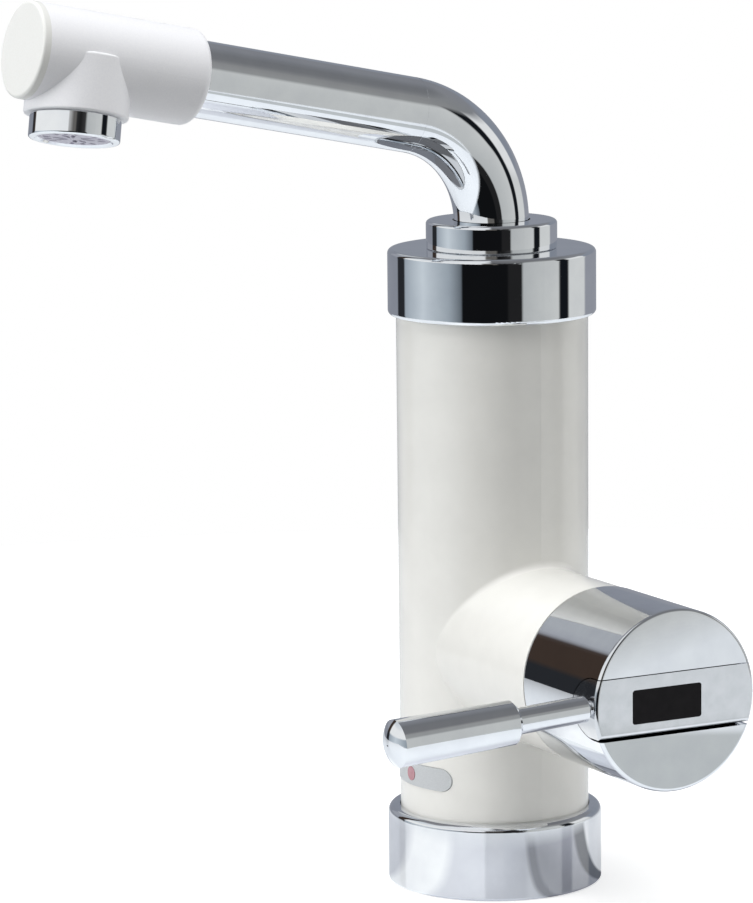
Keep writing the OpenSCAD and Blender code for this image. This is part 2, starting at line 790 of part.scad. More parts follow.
module aerator_housing() {
    bore_r = aerator_bore_d / 2;
    chamfer = 0.7; // at the mouth of the bore
    color("silver") on_outlet() difference() {
        union() {
            translate([0, 0, neck_h]) rounded_ring(bore_r, aerator_d / 2, aerator_h, 0.4, chamfer);
            translate([0, 0, aerator_top_h]) tube(aerator_thread_d / 2, bore_r, aerator_thread_h + 1);
        }
        translate([0, 0, neck_h + aerator_h - chamfer])
            cylinder(r1 = bore_r, r2 = bore_r + chamfer, h = chamfer + eps);
    }
}

// Moulded jet plate: holes in rings on a domed face
module aerator_insert() {
    insert_r = aerator_bore_d / 2 - run_gap;
    plate_t = 3;
    plate_h = neck_h + aerator_h - plate_t - 0.5;
    color("lavender") on_outlet() difference() {
        union() {
            translate([0, 0, plate_h]) cylinder(r = insert_r, h = plate_t);
            translate([0, 0, aerator_top_h]) tube(insert_r, insert_r - 1.5, plate_h - aerator_top_h + 1);
        }
        translate([0, 0, plate_h - eps]) {
            cylinder(d = jet_d, h = plate_t + 2 * eps);
            for (k = [1:jet_rings], i = [0:6 * k - 1]) rotate(60 * i / k)
                translate([k * (insert_r - 1.9) / jet_rings, 0, 0])
                    cylinder(d = jet_d, h = plate_t + 2 * eps, $fn = 24);
        }
    }
}

module aerator_washer() {
    color("dimgray") on_outlet() translate([0, 0, aerator_top_h - aerator_washer_t])
        tube(aerator_thread_d / 2, 8, aerator_washer_t);
}

// ---- Handle ----

module head_outside() {
    on_barrel() translate([0, 0, head_x]) rounded_ring(0, head_d / 2, head_len, 0.6, head_round);
}

// A slot across the head with a half-round floor, grown or shrunk by its radius
module slot_shape(r) {
    translate([0, 0, slot_z]) {
        translate([slot_centre_x, 0, 0]) rotate([90, 0, 0]) cylinder(r = r, h = head_d, center = true);
        translate([slot_centre_x, -head_d / 2, -r]) cube([slot_back + 1, head_d, 2 * r]);
    }
}

module handle_head() {
    color("silver") difference() {
        union() {
            difference() {
                head_outside();
                on_barrel() translate([0, 0, head_x - eps])
                    cylinder(r = head_d / 2 - skirt_wall, h = skirt_depth + eps);
            }
            on_barrel() translate([0, 0, head_boss_x])
                cylinder(d = head_boss_d, h = web_x - head_boss_x + 1);
        }
        slot_shape(slot_w / 2);
        translate([head_boss_x - eps, 0, barrel_z])
            square_bar(spindle_square + 2 * run_gap, square_end_x - head_boss_x);
        on_barrel() translate([0, 0, square_end_x - 1])
            cylinder(d = handle_thread_d + 2 * slip_gap, h = slot_floor_x - square_end_x + 2);
        on_barrel() translate([0, 0, slot_floor_x])
            cylinder(d = handle_screw_head_d + 2 * slip_gap, h = handle_screw_head_t);
    }
}

module square_bar(w, h) { translate([0, -w / 2, -w / 2]) cube([h, w, w]); }

module handle_bar() {
    head_r = head_d / 2;
    color("lightgray") difference() {
        intersection() {
            head_outside();
            slot_shape(bar_round_r);
            translate([0, -head_r, bar_low_z]) cube([face_x + 1, head_d, head_d]);
        }
        difference() {
            translate([face_x, 0, bar_low_z])
                cube([2 * bar_round, 2 * head_d, 2 * bar_round], center = true);
            translate([face_x - bar_round, 0, bar_low_z + bar_round]) rotate([90, 0, 0])
                cylinder(r = bar_round, h = 3 * head_d, center = true);
        }
        window_prism(0.1, face_x - window_t, window_t + 1);
        window_prism(-module_margin + slip_gap, face_x - window_t - module_t - slip_gap, module_t + 1);
        on_barrel() translate([0, 0, slot_floor_x])
            cylinder(d = handle_screw_head_d + 2 * slip_gap,
                h = bar_gap_top + handle_screw_head_t + slip_gap);
        on_rod() translate([0, 0, head_r - rod_thread_len - turn_gap])
            cylinder(d = rod_thread_d + 2 * run_gap, h = head_r);
    }
}

// The window's outline as a solid from x on
module window_prism(grow, x, t) {
    translate([x, -window_shift, barrel_z - window_drop]) rotate([90, 0, 90]) linear_extrude(t)
        round_rect([window_len + 2 * grow, window_h + 2 * grow], window_round);
}

module display_window() {
    color("black") window_prism(0, face_x - window_t, window_t - 0.15);
}

module display_module() {
    color("darkgreen") window_prism(-module_margin, face_x - window_t - module_t, module_t);
}

// Local Z along the lever, about -Y, from the handle's axis
module on_rod() {
    translate([face_x - rod_back, 0, barrel_z + rod_rise]) rotate([90 + rod_droop, 0, 0]) children();
}

module lever_rod() {
    thread_start = head_d / 2 - rod_thread_len;
    chamfer = 0.5;
    color("silver") on_rod() {
        translate([0, 0, thread_start])
            cylinder(d = rod_thread_d, h = rod_shoulder - thread_start + 1);
        translate([0, 0, rod_shoulder]) cylinder(d1 = rod_d - 2 * chamfer, d2 = rod_d, h = chamfer);
        translate([0, 0, rod_shoulder + chamfer])
            cylinder(d = rod_d, h = grip_start - rod_shoulder - chamfer);
        translate([0, 0, grip_start - 1]) cylinder(d = rod_spigot_d, h = rod_spigot_len + 1 - slip_gap);
    }
}

module lever_grip() {
    taper = 1.2;
    r_tip = grip_d_tip / 2;
    dome_r = (r_tip * r_tip + grip_dome * grip_dome) / (2 * grip_dome);
    side_len = grip_len - grip_dome;
    color("silver") on_rod() translate([0, 0, grip_start]) difference() {
        union() {
            cylinder(d1 = grip_d_inner - 2 * taper, d2 = grip_d_inner, h = taper);
            translate([0, 0, taper])
                cylinder(d1 = grip_d_inner, d2 = grip_d_tip, h = side_len - taper);
            intersection() {
                translate([0, 0, grip_len - dome_r]) sphere(dome_r);
                translate([0, 0, side_len - eps]) cylinder(d = grip_d_tip, h = grip_dome + 1);
            }
        }
        translate([0, 0, -eps]) cylinder(d = rod_spigot_d + 2 * run_gap, h = rod_spigot_len);
    }
}

module handle_screw() {
    color("gray") on_barrel() translate([0, 0, slot_floor_x]) difference() {
        union() {
            cylinder(d = handle_screw_head_d, h = handle_screw_head_t);
            translate([0, 0, -handle_screw_len]) cylinder(d = handle_thread_d, h = handle_screw_len + 1);
        }
        translate([0, 0, 1]) cylinder(d = handle_screw_key / cos(30), h = handle_screw_head_t, $fn = 6);
    }
}

// ---- Valve ----

module valve_body() {
    color("goldenrod") difference() {
        union() {
            on_barrel() translate([0, 0, valve_back_x])
                cylinder(d = valve_body_d, h = valve_front_x - valve_back_x);
            translate([0, 0, inlet_port_z]) cylinder(d = port_boss_d, h = barrel_z - inlet_port_z);
            translate([0, 0, barrel_z]) cylinder(d = port_boss_d, h = outlet_port_z - barrel_z);
        }
        on_barrel() translate([0, 0, pocket_x])
            cylinder(r = cartridge_d / 2 + run_gap, h = valve_front_x);
        on_barrel() translate([0, 0, pocket_end_x])
            cylinder(r = cartridge_nut_d / 2 + run_gap, h = valve_front_x);
        translate([0, 0, inlet_port_z - eps]) {
            cylinder(d = tube_d + 2 * run_gap, h = port_seat_depth);
            cylinder(d = riser_d, h = barrel_z - port_offset + riser_over - inlet_port_z);
        }
        translate([0, 0, outlet_port_z - port_seat_depth])
            cylinder(d = tube_d + 2 * run_gap, h = port_seat_depth + eps);
        translate([0, 0, barrel_z + port_offset - riser_over])
            cylinder(d = riser_d, h = outlet_port_z - barrel_z);
        water_ports(0, pocket_x + eps);
    }
}

module water_ports(x, h) {
    for (s = [-1, 1]) on_barrel() translate([s * port_offset, 0, x]) cylinder(d = water_way_d, h = h);
}

module valve_seal() {
    color("dimgray") difference() {
        on_barrel() translate([0, 0, pocket_x]) cylinder(d = disc_d, h = seal_t);
        water_ports(pocket_x - eps, seal_t + 2 * eps);
    }
}

module fixed_disc() {
    color("white") difference() {
        on_barrel() translate([0, 0, fixed_disc_x]) cylinder(d = disc_d, h = disc_t);
        water_ports(fixed_disc_x - eps, disc_t + 2 * eps);
    }
}

// Turning disc with two arched channels in its face; at rest they miss the ports
module moving_disc() {
    color("ivory") on_barrel() translate([0, 0, moving_disc_x]) difference() {
        cylinder(d = disc_d - 1, h = disc_t);
        for (s = [0, 180]) rotate(s + 50) rotate_extrude(angle = 80)
            translate([port_offset - water_way_d / 2 + 0.5, -eps]) square([water_way_d - 1, disc_t / 2]);
        translate([0, 0, disc_t - 1]) for (s = [0, 90]) rotate(s)
            translate([-disc_d / 2, -1.5 - run_gap, 0]) cube([disc_d, 3 + 2 * run_gap, 2]);
    }
}

module valve_spindle() {
    groove_r = spindle_d / 2 - ring_section;
    shaft_end_x = head_boss_x - 1;
    color("goldenrod") difference() {
        union() {
            on_barrel() translate([0, 0, driver_x]) cylinder(d = disc_d - 1, h = driver_t);
            on_barrel() translate([0, 0, driver_x]) cylinder(d = spindle_d, h = shaft_end_x - driver_x);
            intersection() {
                for (s = [0, 90]) on_barrel() rotate(s)
                    translate([-disc_d / 2, -1.5, driver_x - 1 + run_gap]) cube([disc_d, 3, 2]);
                on_barrel() translate([0, 0, driver_x - 2]) cylinder(d = disc_d - 1, h = 4);
            }
            translate([shaft_end_x - 1, 0, barrel_z])
                square_bar(spindle_square, square_end_x - shaft_end_x);
        }
        on_barrel() translate([0, 0, spindle_groove_x])
            tube(spindle_d / 2 + 1, groove_r, ring_section + 2 * run_gap);
        on_barrel() translate([0, 0, square_end_x - 14])
            cylinder(d = handle_thread_d + 2 * run_gap, h = 20);
    }
}

module spindle_o_ring() {
    color("dimgray") on_barrel() translate([0, 0, spindle_groove_x + ring_section / 2 + run_gap])
        rotate_extrude() translate([(spindle_d - ring_section) / 2, 0])
            circle(d = ring_section - 2 * run_gap);
}

module cartridge_body() {
    color("gray") on_barrel() difference() {
        union() {
            translate([0, 0, pocket_x]) cylinder(d = cartridge_d, h = cartridge_len);
            translate([0, 0, pocket_x])
                cylinder(d = spigot_seat_d, h = cartridge_len + cartridge_spigot_len);
        }
        translate([0, 0, pocket_x - eps])
            cylinder(r = disc_d / 2 + run_gap, h = disc_room_x - pocket_x + eps);
        translate([0, 0, pocket_x])
            cylinder(r = spindle_d / 2 + run_gap, h = cartridge_len + cartridge_spigot_len + eps);
    }
}

module cartridge_nut() {
    hex_w = 32;
    hex_t = 5;
    color("goldenrod") on_barrel() difference() {
        union() {
            translate([0, 0, pocket_end_x])
                cylinder(d = cartridge_nut_d, h = valve_front_x - pocket_end_x);
            translate([0, 0, valve_front_x - eps]) cylinder(d = hex_w / cos(30), h = hex_t, $fn = 6);
        }
        translate([0, 0, pocket_end_x - eps])
            cylinder(r = spigot_seat_d / 2 + slip_gap, h = valve_front_x);
    }
}

// ---- Water line and heater ----

// Two lengths of tube, below and above the flow switch
module inlet_tube() {
    lower_z = plate_top_z + shank_hex_t + nipple_h - port_seat_depth;
    upper_z = flow_switch_z + flow_switch_h - port_seat_depth;
    color("peru") {
        translate([0, 0, lower_z])
            tube(tube_d / 2, tube_bore_r, flow_switch_z + port_seat_depth - lower_z);
        translate([0, 0, upper_z])
            tube(tube_d / 2, tube_bore_r, inlet_port_z + port_seat_depth - upper_z - slip_gap);
    }
}

module flow_switch() {
    color("white") translate([0, 0, flow_switch_z]) difference() {
        union() {
            cylinder(d = tube_d + 6, h = flow_switch_h);
            translate([-tube_d / 2 - 7, -5, 6]) cube([8, 10, 12]);
        }
        for (z = [-eps, flow_switch_h - port_seat_depth]) translate([0, 0, z])
            cylinder(d = tube_d + 2 * run_gap, h = port_seat_depth + eps);
        cylinder(r = tube_bore_r, h = flow_switch_h);
    }
}

module heater_chamber() {
    foot_z = outlet_port_z - port_seat_depth + slip_gap;
    color("silver") difference() {
        union() {
            translate([0, 0, chamber_z]) cylinder(d = chamber_d, h = chamber_len);
            translate([0, 0, chamber_top_z - chamber_flange_t])
                cylinder(d = chamber_flange_d, h = chamber_flange_t);
            translate([0, 0, foot_z]) cylinder(d = tube_d, h = chamber_z - foot_z + 1);
        }
        translate([0, 0, chamber_z + chamber_wall])
            cylinder(r = chamber_d / 2 - chamber_wall, h = chamber_len);
        translate([0, 0, foot_z - eps])
            cylinder(r = tube_bore_r, h = chamber_z + chamber_wall - foot_z + 1);
    }
}

module chamber_seal() {
    color("dimgray") translate([0, 0, chamber_top_z])
        tube(chamber_flange_d / 2 - slip_gap, chamber_d / 2 - chamber_wall, chamber_seal_t);
}

module chamber_lid() {
    color("silver") difference() {
        union() {
            translate([0, 0, lid_z]) cylinder(d = chamber_flange_d, h = lid_t);
            translate([0, 0, lid_z]) cylinder(d = tube_d, h = lid_neck_top_z - lid_z);
        }
        translate([0, 0, lid_z - eps]) cylinder(r = tube_bore_r, h = lid_neck_top_z - lid_z + 2 * eps);
        for (s = [-1, 1]) translate([s * post_offset, 0, lid_z - eps])
            cylinder(d = element_d + 2 * run_gap, h = lid_t + 2 * eps);
    }
}

// Hairpin rod that hangs from the lid into the chamber
module heating_element() {
    leg_top_z = lid_z + lid_t + post_h;
    bend_z = chamber_z + chamber_wall + element_d + post_offset;
    color("dimgray") {
        for (s = [-1, 1]) translate([s * post_offset, 0, bend_z])
            cylinder(d = element_d, h = leg_top_z - bend_z);
        translate([0, 0, bend_z]) rotate([-90, 0, 0]) rotate_extrude(angle = 180)
            translate([post_offset, 0]) circle(d = element_d);
    }
}

// Bimetal thermostat on the chamber's back
module thermal_cutout() {
    color("black") translate([0, 0, chamber_z + chamber_len * 0.7]) rotate([-90, 0, 0]) difference() {
        union() {
            cylinder(d = 13, h = chamber_d / 2 + 4);
            translate([0, 0, chamber_d / 2 + 3]) cylinder(d = 9, h = 3);
        }
        rotate([90, 0, 0]) cylinder(d = chamber_d, h = 40, center = true);
    }
}

// ---- Electrics ----

module control_board() {
    color("darkgreen") {
        translate([-board_w / 2, board_y, board_z]) cube([board_w, board_t, board_h]);
    }
    color("black") translate([-16, board_y - 4, board_z + 4]) cube([9, 4, 14]);
    color("darkblue") translate([12, board_y, board_z + 11]) rotate([90, 0, 0]) cylinder(d = 8, h = 3.4);
}

module terminal_block() {
    poles = 3;
    pole_w = 7;
    h = 10;
    screw_d = 4;
    color("white") translate([-poles * pole_w / 2, board_y + board_t, board_z + screw_d]) difference() {
        cube([poles * pole_w, terminal_depth, h]);
        for (i = [0:poles - 1])
            translate([(i + 0.5) * pole_w, terminal_depth - screw_d + 1, h / 2]) rotate([-90, 0, 0])
                cylinder(d = screw_d, h = screw_d);
    }
}

base_ring();
base_plate();
base_gasket();
base_screws();
inlet_shank();
clamp_washer();
mounting_nut();
cable_gland();
column_shell();
indicator_panel();
indicator_lens();
indicator_lamp();
top_collar();
spout_nut();
spout_socket();
spout_bush();
spout_clip();
spout_o_rings();
spout_tail();
spout_pipe();
nozzle_sleeve();
nozzle_end_cap();
nozzle_insert();
aerator_housing();
aerator_insert();
aerator_washer();
handle_head();
handle_bar();
display_window();
display_module();
lever_rod();
lever_grip();
handle_screw();
valve_body();
cartridge_body();
cartridge_nut();
valve_seal();
fixed_disc();
moving_disc();
valve_spindle();
spindle_o_ring();
inlet_tube();
flow_switch();
heater_chamber();
chamber_seal();
chamber_lid();
heating_element();
thermal_cutout();
control_board();
terminal_block();
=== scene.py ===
import bpy
import json
import math
from mathutils import Matrix, Vector


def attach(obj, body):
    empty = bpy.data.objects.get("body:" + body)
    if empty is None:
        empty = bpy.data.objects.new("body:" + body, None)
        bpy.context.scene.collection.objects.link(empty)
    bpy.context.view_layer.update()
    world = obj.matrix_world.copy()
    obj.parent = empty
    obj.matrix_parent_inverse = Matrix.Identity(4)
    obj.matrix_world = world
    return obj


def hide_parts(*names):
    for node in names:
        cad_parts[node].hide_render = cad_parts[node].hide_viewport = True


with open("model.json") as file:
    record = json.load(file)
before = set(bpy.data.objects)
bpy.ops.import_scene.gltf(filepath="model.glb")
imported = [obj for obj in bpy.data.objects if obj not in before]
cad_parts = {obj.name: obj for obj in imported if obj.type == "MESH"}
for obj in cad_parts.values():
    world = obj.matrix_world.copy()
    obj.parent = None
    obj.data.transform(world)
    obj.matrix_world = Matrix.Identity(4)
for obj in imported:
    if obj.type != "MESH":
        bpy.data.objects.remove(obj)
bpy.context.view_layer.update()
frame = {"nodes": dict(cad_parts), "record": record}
nodes = frame["nodes"]
mm = 0.001
print("stage: frame loaded,", len(nodes), "nodes")


# a colour written in sRGB, returned linear
def hexColour(text):
    parts = [int(text[i:i + 2], 16) / 255 for i in (1, 3, 5)]
    return (*[c / 12.92 if c <= 0.04045 else ((c + 0.055) / 1.055) ** 2.4 for c in parts], 1)


# adds a shader node; a setting is a property, an input's value or the output that feeds an input
def addNode(tree, kind, settings=None):
    node = tree.nodes.new(kind)
    for key, value in (settings or {}).items():
        if isinstance(value, bpy.types.NodeSocket):
            tree.links.new(value, node.inputs[key])
        elif isinstance(key, str) and hasattr(node, key):
            setattr(node, key, value)
        else:
            node.inputs[key].default_value = value
    return node


def fillRamp(node, stops):
    ramp = node.color_ramp
    while len(ramp.elements) > 1:
        ramp.elements.remove(ramp.elements[-1])
    ramp.elements[0].position = stops[0][0]
    ramp.elements[0].color = stops[0][1]
    for place, colour in stops[1:]:
        ramp.elements.new(place).color = colour


# how far a value has come from the first end to the second, 0 to 1
def shareBetween(tree, value, ends):
    return addNode(tree, "ShaderNodeMapRange", {
        "From Min": ends[0], "From Max": ends[1], "Value": value}).outputs[0]


# how far round Z a direction or a place lies, 0 to 1 from -180 degrees on
def shareRound(tree, vector):
    xyz = addNode(tree, "ShaderNodeSeparateXYZ", {0: vector})
    angle = addNode(tree, "ShaderNodeMath", {
        "operation": "ARCTAN2", 0: xyz.outputs["Y"], 1: xyz.outputs["X"]})
    return shareBetween(tree, angle.outputs[0], (-math.pi, math.pi))


# colour bands round Z from stops of degrees and colour
def addBands(tree, share, stops):
    bands = addNode(tree, "ShaderNodeValToRGB", {0: share})
    fillRamp(bands, [((degrees + 180) / 360, hexColour(tone)) for degrees, tone in stops])
    return bands.outputs[0]


# the mix node has its colour ends at sockets 6 and 7 and their blend at output 2
def mixColours(tree, share, low, high):
    return addNode(tree, "ShaderNodeMix", {
        "data_type": "RGBA", 0: share, 6: low, 7: high}).outputs[2]


def mixShaders(tree, share, low, high):
    return addNode(tree, "ShaderNodeMixShader", {0: share, 1: low, 2: high}).outputs[0]


# shows one shader to dull surfaces, one to mirrors and one to the camera
def splitByRay(tree, toDull, toMirrors, toCamera):
    path = addNode(tree, "ShaderNodeLightPath")
    toSurfaces = mixShaders(tree, path.outputs["Is Glossy Ray"], toDull, toMirrors)
    return mixShaders(tree, path.outputs["Is Camera Ray"], toSurfaces, toCamera)


# where the photograph was taken from, in the frame's axes
cameraPlace = {
    "distance": 1538.4 * mm, "height": 390.9 * mm, "azimuth": math.radians(60.2),
    "pitch": math.radians(9.37), "yaw": math.radians(-1.36), "roll": math.radians(-0.55),
    "lens": 197.8, "sensor": 36,  # mm, the sensor along the picture's longer side
    "nearest": 0.05,  # m, nothing nearer is drawn
}


def addCamera(place):
    azimuth, yaw, pitch, roll = (place[key] for key in ("azimuth", "yaw", "pitch", "roll"))
    side = Vector((math.cos(azimuth), math.sin(azimuth), 0))
    ahead = Vector((-math.sin(azimuth), math.cos(azimuth), 0))
    up = Vector((0, 0, 1))
    level = math.sin(yaw) * side + math.cos(yaw) * ahead
    look = math.cos(pitch) * level - math.sin(pitch) * up
    right = look.cross(up).normalized()
    top = right.cross(look)
    right, top = (math.cos(roll) * right + math.sin(roll) * top,
                  math.cos(roll) * top - math.sin(roll) * right)
    data = bpy.data.cameras.new("camera")
    data.lens = place["lens"]
    data.sensor_width = place["sensor"]
    data.clip_start = place["nearest"]
    camera = bpy.data.objects.new("camera", data)
    turn = Matrix((right, top, -look)).transposed().to_4x4()
    stand = Matrix.Translation(-ahead * place["distance"] + up * place["height"])
    camera.matrix_world = stand @ turn
    bpy.context.scene.collection.objects.link(camera)
    bpy.context.scene.camera = camera


addCamera(cameraPlace)

# the made-up studio that bright metal mirrors: a light tent in four rings from the horizon up,
# each with bands in degrees anticlockwise from +X, the camera standing at -30
tent = {
    "low": [
        (-180, "#8f939d"), (-158, "#8f939d"),  # grey wall
        (-156, "#2a2c30"), (-143, "#2a2c30"),  # dark doorway
        (-141, "#a3adb7"), (-112, "#d3dce3"), (-78, "#a3adb6"), (-64, "#6a727a"),  # softbox's foot
        (-62, "#121315"), (-13, "#121315"), (-11, "#242425"), (3, "#242425"),  # dark room
        (5, "#c0c3c3"), (49, "#d3d5d4"),  # pale card
        (51, "#15181d"), (63, "#15181d"),  # black flag
        (65, "#dcdedd"), (93, "#dcdedd"),  # white card
        (97, "#9a9da6"), (180, "#8f939d")],  # grey wall behind the tap
    "waist": [
        (-180, "#a2a5ae"), (-158, "#a2a5ae"),  # grey wall
        (-156, "#40352f"), (-145, "#40352f"),  # doorway
        (-142, "#fafbfb"), (-42, "#fafbfb"),  # softbox
        (-39, "#6d6a66"), (-22, "#6d6a66"), (-19, "#161617"), (-8, "#242425"),  # dark room
        (3, "#3c3c3d"), (8, "#c0c3c3"), (46, "#d3d5d4"),  # pale card
        (49, "#15181d"), (61, "#15181d"),  # black flag
        (64, "#f0f1f1"), (91, "#f0f1f1"),  # white card
        (95, "#8c939f"), (180, "#8f939d")],  # grey wall behind the tap
    "middle": [
        (-180, "#b2b6bc"), (-158, "#b2b6bc"),  # grey wall
        (-156, "#352c28"), (-144, "#352c28"),  # doorway
        (-141, "#d9e0e6"), (-100, "#f0f3f6"), (-36, "#f0f2f4"),  # softbox
        (-28, "#5c5d60"), (0, "#6f7073"),  # dark room
        (30, "#a2a4a4"), (50, "#929394"), (66, "#8c8e90"),  # tent cloth
        (112, "#8a8c92"), (168, "#85888e"),  # grey wall
        (171, "#e6e9eb"), (175, "#e6e9eb"), (178, "#b2b6bc")],  # light gap in it
    "high": [
        (-180, "#85868a"), (-112, "#8d8e92"),  # tent cloth
        (-100, "#f4f6f8"), (-40, "#f4f6f8"),  # softbox
        (-28, "#747578"), (30, "#7c7d80"), (90, "#787a7e"), (140, "#8b8e95")],  # tent cloth
    "joins": [(0.07, 0.13), (0.38, 0.48), (0.64, 0.74)],  # each ring into the next, as sines
    "onDull": 0.75,  # how strongly the tent lights the plastics
}


def buildWorld():
    world = bpy.data.worlds.new("studio")
    bpy.context.scene.world = world
    world.use_nodes = True
    tree = world.node_tree
    tree.nodes.clear()
    way = addNode(tree, "ShaderNodeTexCoord").outputs["Generated"]
    rise = addNode(tree, "ShaderNodeSeparateXYZ", {0: way}).outputs["Z"]
    share = shareRound(tree, way)
    rings = [addBands(tree, share, tent[ring]) for ring in ("low", "waist", "middle", "high")]
    seen = rings[0]
    for upper, join in zip(rings[1:], tent["joins"]):
        seen = mixColours(tree, shareBetween(tree, rise, join), seen, upper)
    mirrored = addNode(tree, "ShaderNodeBackground", {"Color": seen, "Strength": 1.0})
    soft = addNode(tree, "ShaderNodeBackground", {"Color": seen, "Strength": tent["onDull"]})
    white = addNode(tree, "ShaderNodeBackground", {"Color": (1, 1, 1, 1), "Strength": 1.0})
    addNode(tree, "ShaderNodeOutputWorld", {"Surface": splitByRay(
        tree, soft.outputs[0], mirrored.outputs[0], white.outputs[0])})


buildWorld()

# softboxes for the dull surfaces, in metres and watts, all aimed at the middle of the tap
lamps = {
    "overhead": {"place": (0.15, -0.3, 1.3), "side": 0.9, "power": 12.4},
    "left": {"place": (-0.6, -2.6, 0.6), "side": 1.5, "power": 30},
    "behind": {"place": (0.3, 1.0, 0.3), "side": 0.7, "power": 4},
}
lampAim = (0, 0, 0.12)


def addLamp(name, settings):
    data = bpy.data.lights.new(name, "AREA")
    data.size = settings["side"]
    data.energy = settings["power"]
    lamp = bpy.data.objects.new(name, data)
    place = Vector(settings["place"])
    aim = (Vector(lampAim) - place).to_track_quat("-Z", "Y")
    lamp.matrix_world = Matrix.Translation(place) @ aim.to_matrix().to_4x4()
    lamp.visible_glossy = False  # bright metal sees the tent instead
    lamp.visible_camera = False
    bpy.context.scene.collection.objects.link(lamp)


for lampName, settings in lamps.items():
    addLamp(lampName, settings)


def deselectAll():
    if bpy.context.object and bpy.context.object.mode != "OBJECT":
        bpy.ops.object.mode_set(mode="OBJECT")
    bpy.ops.object.select_all(action="DESELECT")


table = {
    "radius": 620 * mm, "around": 96, "below": 0.2 * mm,  # below the tap's seat
    "dull": "#d8d8d8", "glow": 0.62,  # as the camera sees it
    "sheet": "#dde1e5", "glowInMetal": 0.42,  # as bright metal mirrors it
    "glossIor": 1.45, "glossRough": 0.06,  # the sheet's own faint gloss
    "edge": (300 * mm, 340 * mm), "floor": "#909090",  # where it ends in front, and what follows
    # the soft shadow that the handle's face mirrors: an ellipse, its turn about Z, how far out
    # along that line, its half sizes and where its rim fades
    "shade": {"turn": 23.6, "along": 337 * mm, "half": (58 * mm, 120 * mm), "tone": "#aeb2b3",
              "fade": (0.95, 1.12)},
    # bands of painted light and shade on the sheet that the base ring mirrors, and the reach over
    # which they end: painted light at the front left, the handle's painted shadow from 1 to 49
    # degrees, and a painted reflection of the black flag from 53 to 66
    "near": (100 * mm, 125 * mm),
    "round": [
        (-180, "#c9ccd2"), (-125, "#c9ccd2"), (-112, "#f1f3f4"), (-76, "#f1f3f4"),
        (-66, "#ced1d8"), (-3, "#ced1d8"), (1, "#84868f"), (6, "#84868f"), (9, "#a2a4ad"),
        (49, "#a8aab3"), (53, "#5d6067"), (66, "#5d6067"), (70, "#e9ebee"), (110, "#e9ebee"),
        (130, "#c9ccd2")],
}


# the sheet's colour as bright metal mirrors it: the painted shadow of the handle, and close round
# the base the bands of painted light and shade
def sheetColour(tree, place):
    shade = table["shade"]
    turned = addNode(tree, "ShaderNodeVectorRotate", {
        "rotation_type": "Z_AXIS", "Angle": -math.radians(shade["turn"]), "Vector": place})
    aside = addNode(tree, "ShaderNodeVectorMath", {
        "operation": "SUBTRACT", 0: turned.outputs[0], 1: (shade["along"], 0, 0)})
    shrunk = addNode(tree, "ShaderNodeVectorMath", {
        "operation": "DIVIDE", 0: aside.outputs[0], 1: (*shade["half"], 1)})
    away = addNode(tree, "ShaderNodeVectorMath", {"operation": "LENGTH", 0: shrunk.outputs[0]})
    lit = shareBetween(tree, away.outputs["Value"], shade["fade"])
    far = mixColours(tree, lit, hexColour(shade["tone"]), hexColour(table["sheet"]))
    reach = addNode(tree, "ShaderNodeVectorMath", {"operation": "LENGTH", 0: place})
    outside = shareBetween(tree, reach.outputs["Value"], table["near"])
    return mixColours(tree, outside, addBands(tree, shareRound(tree, place), table["round"]), far)


def addTable():
    deselectAll()
    bpy.ops.mesh.primitive_circle_add(vertices=table["around"], radius=table["radius"],
                                      fill_type="NGON", location=(0, 0, -table["below"]))
    top = bpy.context.object
    top.name = "tableTop"
    material = bpy.data.materials.new("white table")
    material.use_nodes = True
    tree = material.node_tree
    tree.nodes.clear()
    place = addNode(tree, "ShaderNodeTexCoord").outputs["Object"]
    azimuth = cameraPlace["azimuth"]
    front = addNode(tree, "ShaderNodeVectorMath", {
        "operation": "DOT_PRODUCT", 0: place, 1: (math.sin(azimuth), -math.cos(azimuth), 0)})
    past = shareBetween(tree, front.outputs["Value"], table["edge"])

    # the camera sees a white top, and dull surfaces see it without its glow, then the floor
    dull = addNode(tree, "ShaderNodeBsdfDiffuse", {"Color": hexColour(table["dull"])})
    glow = addNode(tree, "ShaderNodeEmission", {"Color": (1, 1, 1, 1), "Strength": table["glow"]})
    white = addNode(tree, "ShaderNodeAddShader", {0: dull.outputs[0], 1: glow.outputs[0]})
    floor = addNode(tree, "ShaderNodeBsdfDiffuse", {"Color": hexColour(table["floor"])})
    bounce = mixShaders(tree, past, dull.outputs[0], floor.outputs[0])

    # bright metal sees a sheet with a faint gloss and painted light and shade, and past its front
    # edge the dark room
    paper = sheetColour(tree, place)
    sheet = addNode(tree, "ShaderNodeBsdfDiffuse", {"Color": paper})
    pale = addNode(tree, "ShaderNodeEmission", {"Color": paper, "Strength": table["glowInMetal"]})
    litSheet = addNode(tree, "ShaderNodeAddShader", {0: sheet.outputs[0], 1: pale.outputs[0]})
    gloss = addNode(tree, "ShaderNodeBsdfGlossy", {"Roughness": table["glossRough"]})
    fresnel = addNode(tree, "ShaderNodeFresnel", {"IOR": table["glossIor"]})
    onSheet = mixShaders(tree, fresnel.outputs[0], litSheet.outputs[0], gloss.outputs[0])
    clear = addNode(tree, "ShaderNodeBsdfTransparent")
    mirrored = mixShaders(tree, past, onSheet, clear.outputs[0])

    addNode(tree, "ShaderNodeOutputMaterial", {
        "Surface": splitByRay(tree, bounce, mirrored, white.outputs[0])})
    top.data.materials.append(material)


addTable()
bpy.context.scene.view_settings.view_transform = "Standard"
print("stage: camera, lamps and table")

